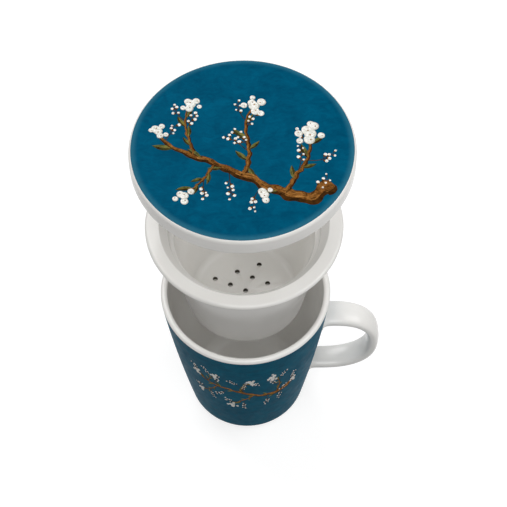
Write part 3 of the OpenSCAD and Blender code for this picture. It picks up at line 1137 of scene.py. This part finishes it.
def wall_spray(sheet, relief):
    """The smaller branch across the front of the mug."""
    spray = Spray(sheet, relief, scale=0.55, seed=11)
    points = [(26, 2), (14, -12), (2, -3), (-8, 9), (-18, -3), (-27, 8)]
    main = spray.branch(points, thick=6.0, thin=1.2, steps=96)
    tips = ((0.4, 0.9, 15, 8), (0.7, -0.9, 12, 7))
    shoot(spray, main[18], [(2, 9), (8, 18), (-4, 26)], 2.2, (7, 1.9), 6.0, tips)
    shoot(spray, main[38], [(-4, -7), (-16, -11), (-20, -19)], 2.0, (6, 1.8), 6.0, tips)
    shoot(spray, main[52], [(6, 6), (2, 12), (12, 16)], 2.0, (6, 1.7), 6.0, tips)
    shoot(spray, main[72], [(-6, -7), (-8, -14), (-18, -19)], 1.6, (5, 1.7), 5.5, tips)
    shoot(spray, main[84], [(4, 4), (2, 8), (8, 12)], 1.4, (5, 1.6), 5.5, tips[:1])
    spray.leaves(main, 7, first=0.2, last=0.97, gap=0.11)
    twigs = ((90, 2.2), (78, 1.2), (64, -2.2), (46, 1.5), (28, -1.6), (22, 0.4), (10, -2.0), (6, 1.2))
    for place, angle in twigs:
        spray.spray_of_buds(main[place], angle, size=15, count=8, radius=0.9)
    spray.cluster(main[-1], count=6, radius=1.7)
    spray.cluster(main[2], count=5, radius=1.6)
    return spray


# --- Operators ------------------------------------------------------------------------------


def settings(context):
    """The sizes and colours that are set in the scene."""
    return context.scene.infuser_mug


class INFUSER_MUG_OT_throw_mug(bpy.types.Operator):
    """Throws the mug's body and lays the coloured band on its wall"""

    bl_idname = "infuser_mug.throw_mug"
    bl_label = "Throw Mug"

    def execute(self, context):
        sizes = settings(context).mug
        colours = settings(context).colours
        mesh = turned("mug_shell", mug_outline(sizes))
        glaze = clear_glaze("clear_glaze", colours.cream, colours.white)
        clay = bare_clay("bare_clay", colours.clay)
        shell = finish_piece("mug_shell", mesh, [glaze, clay], "mug", "mug_body")
        bare_foot = 0.7 * MM
        for face in shell.data.polygons:
            if face.center.z < bare_foot:
                face.material_index = 1
        band = turned("mug_colour", band_outline(sizes), closed=True)
        # The mug's teal is lighter than the lid's: painted light on the less lit wall.
        teal = teal_glaze("lit_wall_teal_glaze", colours.lit_deep_wall_teal, colours.lit_wall_teal)
        finish_piece("mug_colour", band, [teal], "mug", "mug_glaze")
        return {"FINISHED"}


class INFUSER_MUG_OT_pull_handle(bpy.types.Operator):
    """Pulls the strap handle and smooths its roots into the wall"""

    bl_idname = "infuser_mug.pull_handle"
    bl_label = "Pull Handle"

    def execute(self, context):
        mug = settings(context)
        mesh = make_handle_mesh(mug.mug, mug.handle)
        glaze = bpy.data.materials["clear_glaze"]
        finish_piece("mug_strap", mesh, [glaze], "mug", "mug_handle")
        return {"FINISHED"}


class INFUSER_MUG_OT_make_infuser(bpy.types.Operator):
    """Turns the infuser basket and drills its drain holes"""

    bl_idname = "infuser_mug.make_infuser"
    bl_label = "Make Infuser"

    def execute(self, context):
        sizes = settings(context).infuser
        colours = settings(context).colours
        mesh = turned("infuser_strainer", basket_outline(sizes))
        # A darker copy of the clear glaze: painted shade on the infuser.
        glaze = clear_glaze("shaded_infuser_glaze", colours.shaded_infuser_cream, colours.shaded_infuser_white)
        # The dark clay in the drain holes is painted shade.
        hole_shade = bare_clay("hole_shade_clay", colours.hole_shade)
        piece = finish_piece(
            "infuser_strainer", mesh, [glaze, hole_shade], "infuser", "infuser_basket"
        )
        drill_holes(piece, sizes)
        return {"FINISHED"}


class INFUSER_MUG_OT_make_lid(bpy.types.Operator):
    """Turns the lid and lays the coloured glaze on its top"""

    bl_idname = "infuser_mug.make_lid"
    bl_label = "Make Lid"

    def execute(self, context):
        sizes = settings(context).lid
        colours = settings(context).colours
        glaze = bpy.data.materials["clear_glaze"]
        cover = turned("lid_cover", lid_outline(sizes))
        finish_piece("lid_cover", cover, [glaze], "lid", "lid_body")
        rim = node_radius("lid_body") - sizes.white_edge
        # The lighter teal at the rim is a painted highlight on the lid's rounded edge.
        shades = (colours.deep_teal, colours.teal, colours.rim_highlight_teal)
        teal = teal_glaze("lid_teal_glaze", *shades, highlight_radius=rim)
        disc = turned("lid_colour", lid_colour_outline(sizes))
        finish_piece("lid_colour", disc, [teal], "lid", "lid_glaze")
        return {"FINISHED"}


class INFUSER_MUG_OT_paint_sprays(bpy.types.Operator):
    """Paints the snowberry sprays on the lid and on the front of the mug"""

    bl_idname = "infuser_mug.paint_sprays"
    bl_label = "Paint Sprays"

    def execute(self, context):
        mug = settings(context)
        # The enamel stays just below the lid's white edge.
        relief = 0.95 * mug.lid.sunk
        lid = LidSheet(node_top("lid_glaze") - mug.lid.sunk)
        lid_enamels = enamels(mug.colours, "lid", lift=1.0)
        lid_spray(lid, relief).pieces("lid_spray", lid_enamels, "lid")
        wall = WallSheet(mug.mug)
        # The wall's enamels are lighter copies of the lid's: painted light on the less lit wall.
        lit_wall_enamels = enamels(mug.colours, "mug", lift=1.7)
        wall_spray(wall, relief).pieces("mug_spray", lit_wall_enamels, "mug")
        return {"FINISHED"}


# --- Stage ----------------------------------------------------------------------------------

LAMP_TARGET = Vector((0, 0, 0.11))
LAMP_DISTANCE = 1.2
FLOOR_RADIUS = 6.0
PAPER_GREY = 0.42
PAPER_GLOW = 0.71
BOUNCE_GREY = 0.30
DAYLIGHT = (1.0, 0.985, 0.96, 1)
WHITE = (1, 1, 1, 1)


def softbox(name, azimuth, elevation, size, level):
    """A square lamp that lights a surface facing it to that level, where 1 is white.

    Its azimuth, in degrees like its elevation, is 0 in front of the mug and 90 at the handle.
    """
    lamp = bpy.data.lights.new(name, "AREA")
    lamp.size = size
    lamp.energy = math.pi ** 2 * LAMP_DISTANCE ** 2 * level
    across = math.radians(azimuth)
    up = math.radians(elevation)
    way = Vector((math.sin(across) * math.cos(up), -math.cos(across) * math.cos(up), math.sin(up)))
    made = add_object(name, lamp)
    made.location = LAMP_TARGET + way * LAMP_DISTANCE
    made.rotation_euler = way.to_track_quat("Z", "Y").to_euler()


def seen_directly(nodes, links):
    """1 for camera, mirror and see-through rays, and 0 for the rays that carry light."""
    path = nodes.new("ShaderNodeLightPath")
    total = path.outputs["Is Camera Ray"]
    for name in ("Is Glossy Ray", "Is Transmission Ray"):
        either = nodes.new("ShaderNodeMath")
        either.operation = "MAXIMUM"
        links.new(total, either.inputs[0])
        links.new(path.outputs[name], either.inputs[1])
        total = either.outputs["Value"]
    return total


def seen_or_lit(nodes, links, lit, seen):
    """One shader for the rays that carry light, and another where it is looked at."""
    mix = nodes.new("ShaderNodeMixShader")
    links.new(seen_directly(nodes, links), mix.inputs["Fac"])
    links.new(lit, mix.inputs[1])
    links.new(seen, mix.inputs[2])
    return mix.outputs["Shader"]


def paper(nodes, grey):
    """A dull grey surface."""
    surface = nodes.new("ShaderNodeBsdfDiffuse")
    surface.inputs["Color"].default_value = (grey, grey, grey, 1)
    return surface.outputs["BSDF"]


def floor_finish():
    """Paper that is white with the mug's shadow where it is looked at, and bounces a little light."""
    material = bpy.data.materials.new("paper_floor")
    material.use_nodes = True
    nodes, links = material.node_tree.nodes, material.node_tree.links
    nodes.clear()
    glow = nodes.new("ShaderNodeEmission")
    glow.inputs["Strength"].default_value = PAPER_GLOW
    seen = nodes.new("ShaderNodeAddShader")
    links.new(paper(nodes, PAPER_GREY), seen.inputs[0])
    links.new(glow.outputs["Emission"], seen.inputs[1])
    surface = seen_or_lit(nodes, links, paper(nodes, BOUNCE_GREY), seen.outputs["Shader"])
    out = nodes.new("ShaderNodeOutputMaterial")
    links.new(surface, out.inputs["Surface"])
    return material


def paper_floor():
    """The floor, a wide round sheet."""
    work = bmesh.new()
    bmesh.ops.create_circle(work, cap_ends=True, radius=FLOOR_RADIUS, segments=96)
    mesh = bpy.data.meshes.new("paper_floor")
    work.to_mesh(mesh)
    work.free()
    mesh.materials.append(floor_finish())
    floor = add_object("paper_floor", mesh)


def even_sky(level):
    """An even sky that gives its level as light and is white where it is looked at."""
    world = bpy.data.worlds.new("even_sky")
    world.use_nodes = True
    nodes, links = world.node_tree.nodes, world.node_tree.links
    nodes.clear()
    light = nodes.new("ShaderNodeBackground")
    light.inputs["Color"].default_value = DAYLIGHT
    light.inputs["Strength"].default_value = level
    white = nodes.new("ShaderNodeBackground")
    white.inputs["Color"].default_value = WHITE
    sky = seen_or_lit(nodes, links, light.outputs["Background"], white.outputs["Background"])
    out = nodes.new("ShaderNodeOutputWorld")
    links.new(sky, out.inputs["Surface"])
    bpy.context.scene.world = world


def studio_camera(studio):
    """The camera, high in front of the mug."""
    lens = bpy.data.cameras.new("camera")
    lens.lens = studio.lens
    camera = add_object("camera", lens)
    rim = Vector((0, 0, node_top("mug_body")))
    back = Vector((0, -math.cos(studio.elevation), math.sin(studio.elevation)))
    camera.location = rim + back * studio.distance
    aim = (camera.location - Vector(studio.aim)).to_track_quat("Z", "Y").to_matrix()
    camera.rotation_euler = (aim @ Matrix.Rotation(studio.roll, 3, "Z")).to_euler()
    bpy.context.scene.camera = camera


class INFUSER_MUG_OT_set_stage(bpy.types.Operator):
    """Sets the camera, the lamps, the sky and the floor"""

    bl_idname = "infuser_mug.set_stage"
    bl_label = "Set Stage"

    def execute(self, context):
        studio = settings(context).studio
        context.scene.view_settings.view_transform = "Standard"
        studio_camera(studio)
        paper_floor()
        even_sky(studio.sky_level)
        softbox("front_softbox", azimuth=0, elevation=60, size=0.7, level=studio.front_level)
        softbox("left_softbox", azimuth=-150, elevation=44, size=0.8, level=studio.left_level)
        softbox("right_softbox", azimuth=94, elevation=44, size=0.8, level=studio.right_level)
        return {"FINISHED"}


# --- Panel and run --------------------------------------------------------------------------


class INFUSER_MUG_PT_sidebar(bpy.types.Panel):
    """Lists the steps of making the mug"""

    bl_label = "Infuser Mug"
    bl_idname = "INFUSER_MUG_PT_sidebar"
    bl_space_type = "VIEW_3D"
    bl_region_type = "UI"
    bl_category = "Infuser Mug"

    def draw(self, context):
        for step in STEPS:
            self.layout.operator(step.bl_idname)
        mug = settings(context)
        for group in (mug.mug, mug.handle, mug.infuser, mug.lid, mug.colours, mug.studio):
            box = self.layout.box()
            for name in group.__annotations__:
                box.prop(group, name)


class InfuserMug(bpy.types.PropertyGroup):
    """Everything that is set for the mug."""

    mug: PointerProperty(type=MugSizes)
    handle: PointerProperty(type=HandleSizes)
    infuser: PointerProperty(type=InfuserSizes)
    lid: PointerProperty(type=LidSizes)
    colours: PointerProperty(type=GlazeColours)
    studio: PointerProperty(type=StudioSetup)


STEPS = (
    INFUSER_MUG_OT_set_stage,
    INFUSER_MUG_OT_throw_mug,
    INFUSER_MUG_OT_pull_handle,
    INFUSER_MUG_OT_make_infuser,
    INFUSER_MUG_OT_make_lid,
    INFUSER_MUG_OT_paint_sprays,
)
GROUPS = (MugSizes, HandleSizes, InfuserSizes, LidSizes, GlazeColours, StudioSetup, InfuserMug)
CLASSES = (*GROUPS, *STEPS, INFUSER_MUG_PT_sidebar)


def register():
    for made in CLASSES:
        bpy.utils.register_class(made)
    bpy.types.Scene.infuser_mug = PointerProperty(type=InfuserMug)


def unregister():
    del bpy.types.Scene.infuser_mug
    for made in reversed(CLASSES):
        bpy.utils.unregister_class(made)


def main():
    """Makes every piece in order."""
    register()
    for step in STEPS:
        name = step.bl_idname.split(".")[1]
        getattr(bpy.ops.infuser_mug, name)()
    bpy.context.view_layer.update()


if __name__ == "__main__":
    main()
